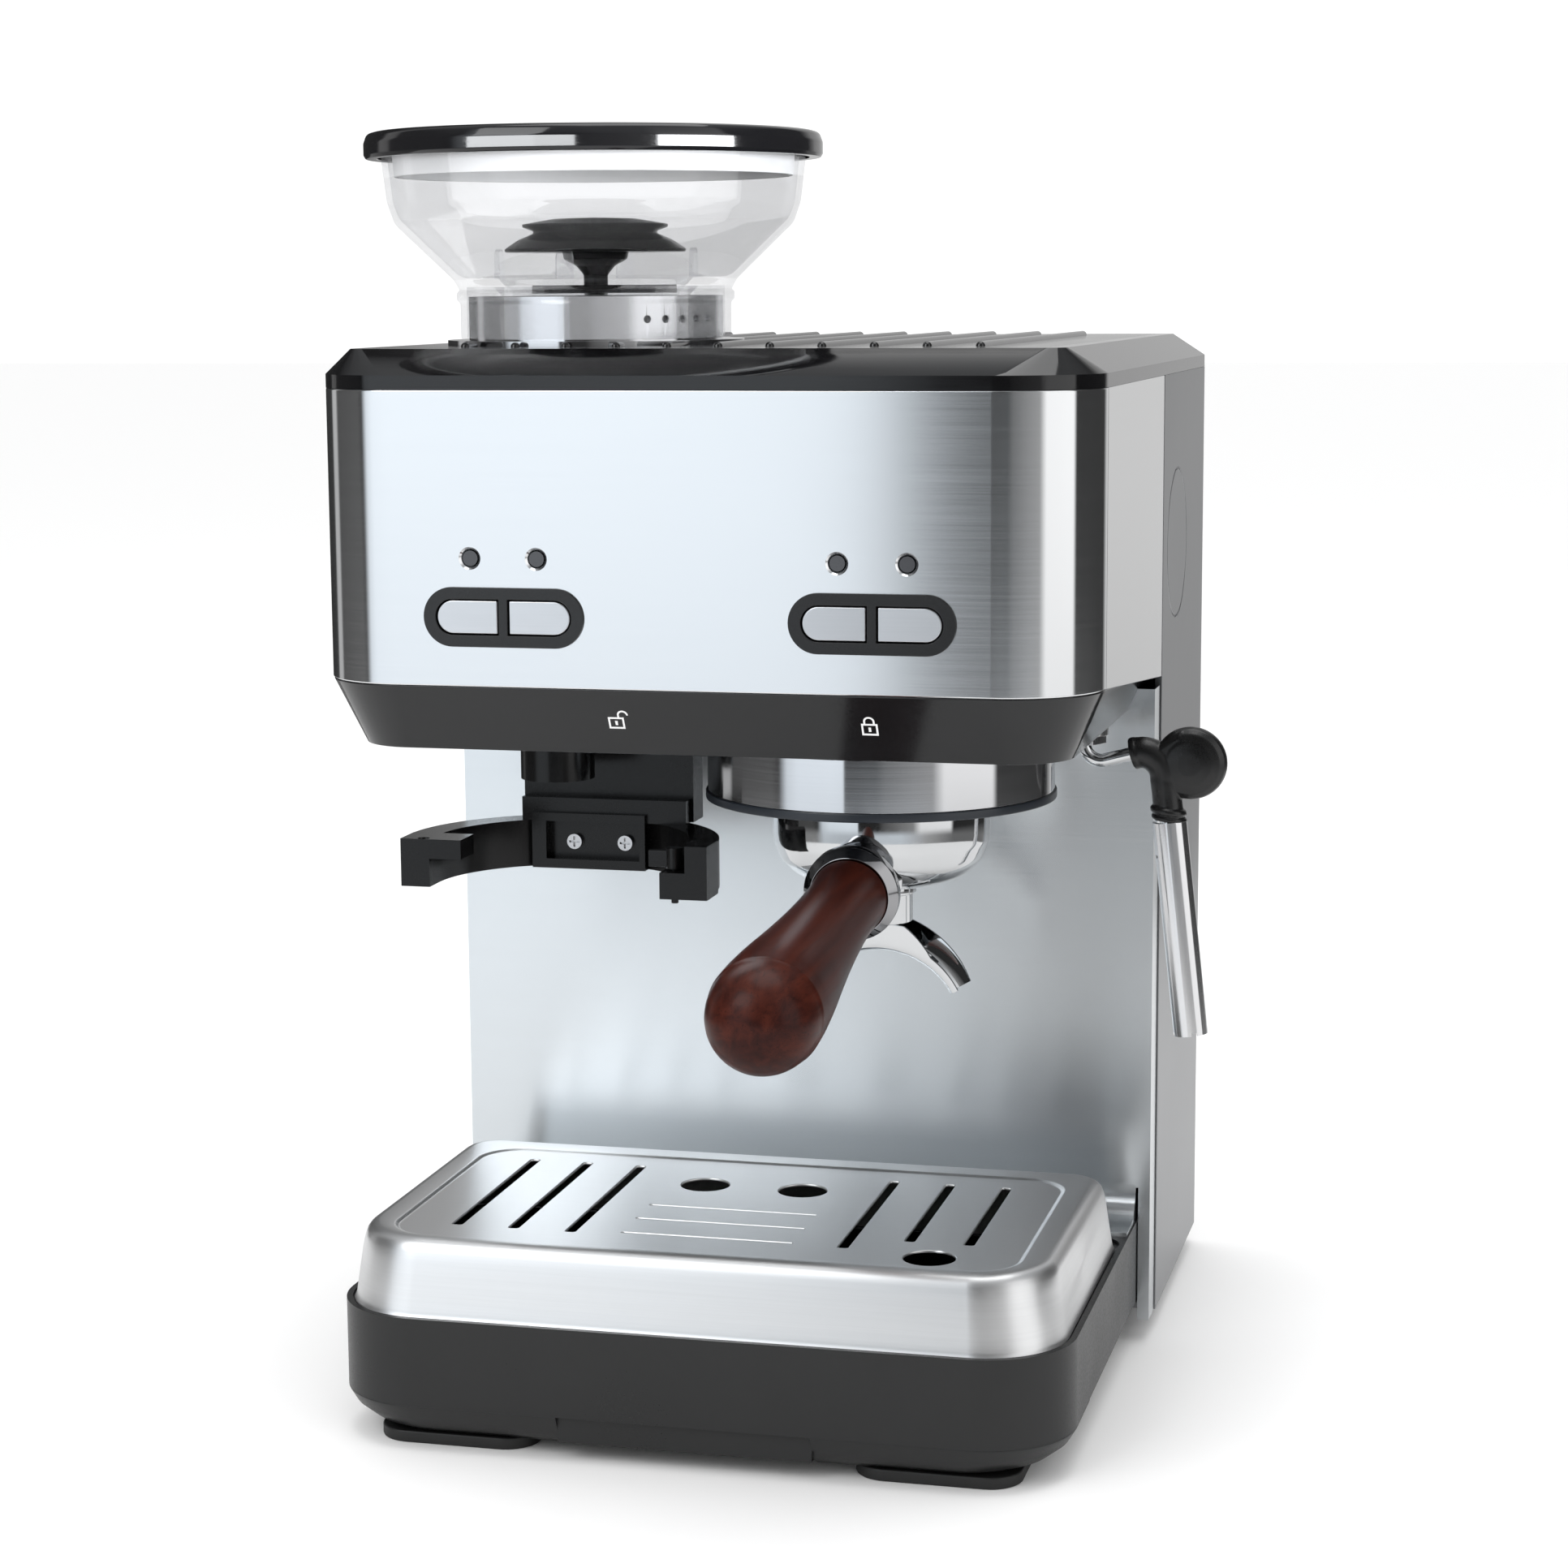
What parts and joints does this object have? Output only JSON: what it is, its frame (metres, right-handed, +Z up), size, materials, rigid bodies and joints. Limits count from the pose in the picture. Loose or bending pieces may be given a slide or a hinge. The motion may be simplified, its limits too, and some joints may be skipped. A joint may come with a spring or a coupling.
{
  "type": "espresso machine",
  "caption": "Countertop espresso machine with a bean hopper and grinder head, a dosing cradle, a locking portafilter with a wooden handle, a swivelling steam wand and a lift-out drip tray.",
  "frame": {"origin": "centre of the whole bounding box in X and Y (handle, lid and wand included), at the underside of the rubber feet", "axes": "+Z up, the control panel and the portafilter handle face -Y, the steam wand is on the +X side"},
  "size_m": [0.2894, 0.3907, 0.4245],
  "materials": {
    "charcoal_plastic": "satin",
    "foot_rubber": "matt",
    "black_plastic": "satin",
    "black_gloss": "gloss",
    "splash_steel": "brushed, horizontal grain",
    "housing_silver": "satin",
    "panel_steel": "brushed, horizontal grain",
    "trim_charcoal": "semi gloss",
    "icon_white": "printed",
    "seat_steel": "satin",
    "collar_steel": "turned",
    "ring_blue_grey": "semi gloss",
    "group_alloy": "cast",
    "seal_rubber": "matt",
    "screen_steel": "satin",
    "boiler_alloy": "cast",
    "pump_body": "satin",
    "valve_brass": "machined",
    "hose_silicone": "satin",
    "board_green": "satin",
    "led_dark": "gloss",
    "button_steel": "brushed, fine grain",
    "motor_steel": "plated",
    "pinion_brass": "machined",
    "burr_steel": "ground",
    "grinder_plastic": "satin",
    "hopper_clear": "clear",
    "screw_steel": "plated",
    "chrome": "polished",
    "basket_steel": "satin",
    "black_chrome": "polished",
    "handle_wood": "satin varnish",
    "tray_steel": "brushed",
    "wand_chrome": "polished",
    "sleeve_steel": "fine brushed",
    "grip_rubber": "satin",
    "tank_smoke": "smoked clear",
    "fitting_steel": "machined"
  },
  "bodies": {
    "machine": {"base_housing": "charcoal_plastic", "foot_blocks": "charcoal_plastic", "rubber_feet": "foot_rubber", "bottom_cover": "black_plastic", "splash_panel": "splash_steel", "rear_housing": "housing_silver", "back_panel": "black_plastic", "power_inlet_gland": "black_plastic", "tank_shelf": "black_plastic", "head_front_panel": "panel_steel", "head_side_panels": "panel_steel", "lower_trim": "trim_charcoal", "lock_icons": "icon_white", "head_bottom_plate": "black_plastic", "top_frame": "black_gloss", "cup_deck": "black_gloss", "hopper_seat_ring": "seat_steel", "group_collar": "collar_steel", "collar_ring": "ring_blue_grey", "group_head": "group_alloy", "group_gasket": "seal_rubber", "shower_screen": "screen_steel", "boiler": "boiler_alloy", "pump": "pump_body", "pump_mounts": "seal_rubber", "solenoid_valve": "valve_brass", "hoses": "hose_silicone", "control_board": "board_green", "button_bezels": "black_gloss", "led_lenses": "led_dark", "grinder_housing": "grinder_plastic", "grinder_motor": "motor_steel", "grinder_chute": "black_plastic", "cradle_bracket": "black_plastic", "cradle_screws": "screw_steel", "wand_socket": "fitting_steel"},
    "hopper": {"hopper_shell": "hopper_clear", "bean_guard": "black_plastic", "burr_carrier": "burr_steel"},
    "hopper_lid": {"hopper_lid": "black_gloss"},
    "portafilter": {"portafilter_body": "chrome", "filter_basket": "basket_steel", "handle_ferrule": "black_chrome", "wood_handle": "handle_wood", "double_spout": "chrome"},
    "drip_basin": {"drip_basin": "black_plastic"},
    "tray_cover": {"tray_cover": "tray_steel"},
    "button_l1": {"button_l1": "button_steel"},
    "button_l2": {"button_l2": "button_steel"},
    "button_r1": {"button_r1": "button_steel"},
    "button_r2": {"button_r2": "button_steel"},
    "swivel_cup": {"swivel_cup": "fitting_steel"},
    "wand": {"wand_pipe": "wand_chrome", "wand_grip": "grip_rubber"},
    "froth_sleeve": {"froth_sleeve": "sleeve_steel"},
    "water_tank": {"water_tank": "tank_smoke"},
    "grind_lever": {"grind_lever": "black_plastic"},
    "burr_shaft": {"burr_shaft": "burr_steel"},
    "motor_pinion": {"motor_pinion": "pinion_brass"}
  },
  "joints": [
    {"name": "hopper_turn", "type": "hinge", "parent": "machine", "child": "hopper", "pos_m": [-0.068, 0.00335, 0.3564], "axis": [0, 0, 1], "range_deg": [-30, 30]},
    {"name": "lid_lift", "type": "slide", "parent": "hopper", "child": "hopper_lid", "axis": [0, 0, 1], "range_m": [0, 0.05]},
    {"name": "portafilter_turn", "type": "hinge", "parent": "machine", "child": "portafilter", "pos_m": [0.0352, -0.02035, 0.2124], "axis": [0, 0, 1], "range_deg": [-38, 9]},
    {"name": "basin_lift", "type": "slide", "parent": "machine", "child": "drip_basin", "axis": [0, 0, 1], "range_m": [0, 0.04]},
    {"name": "tray_cover_lift", "type": "slide", "parent": "drip_basin", "child": "tray_cover", "axis": [0, 0, 1], "range_m": [0, 0.025]},
    {"name": "wand_swivel", "type": "hinge", "parent": "machine", "child": "swivel_cup", "pos_m": [0.0966, 0.01935, 0.2248], "axis": [0, 0, 1], "range_deg": [-65, 35]},
    {"name": "wand_tilt", "type": "hinge", "parent": "swivel_cup", "child": "wand", "pos_m": [0.0966, 0.01935, 0.2248], "axis": [0, -1, 0], "range_deg": [-4, 12]},
    {"name": "sleeve_slide", "type": "slide", "parent": "wand", "child": "froth_sleeve", "axis": [0.1097, 0, -0.994], "range_m": [0, 0.045]},
    {"name": "tank_slide", "type": "slide", "parent": "machine", "child": "water_tank", "axis": [0, 1, 0], "range_m": [0, 0.12]},
    {"name": "grind_lever_press", "type": "hinge", "parent": "machine", "child": "grind_lever", "pos_m": [-0.0265, -0.05365, 0.1864], "axis": [0, 0, -1], "range_deg": [0, 15], "stiffness_Nm_per_rad": 0.01, "springref_deg": -5.73},
    {"name": "burr_spin", "type": "hinge", "parent": "machine", "child": "burr_shaft", "pos_m": [-0.068, 0.00335, 0.2744], "axis": [0, 0, 1], "continuous": true},
    {"name": "pinion_spin", "type": "hinge", "parent": "machine", "child": "motor_pinion", "pos_m": [-0.092, 0.00335, 0.2744], "axis": [0, 0, 1], "continuous": true},
    {"name": "button_l1_press", "type": "slide", "parent": "machine", "child": "button_l1", "axis": [0, 1, 0], "range_m": [0, 0.0012], "stiffness_N_per_m": 400, "springref_m": -0.0005},
    {"name": "button_l2_press", "type": "slide", "parent": "machine", "child": "button_l2", "axis": [0, 1, 0], "range_m": [0, 0.0012], "stiffness_N_per_m": 400, "springref_m": -0.0005},
    {"name": "button_r1_press", "type": "slide", "parent": "machine", "child": "button_r1", "axis": [0, 1, 0], "range_m": [0, 0.0012], "stiffness_N_per_m": 400, "springref_m": -0.0005},
    {"name": "button_r2_press", "type": "slide", "parent": "machine", "child": "button_r2", "axis": [0, 1, 0], "range_m": [0, 0.0012], "stiffness_N_per_m": 400, "springref_m": -0.0005}
  ],
  "couplings": [
    {"joint": "pinion_spin", "follows": "burr_spin", "ratio": -3}
  ]
}
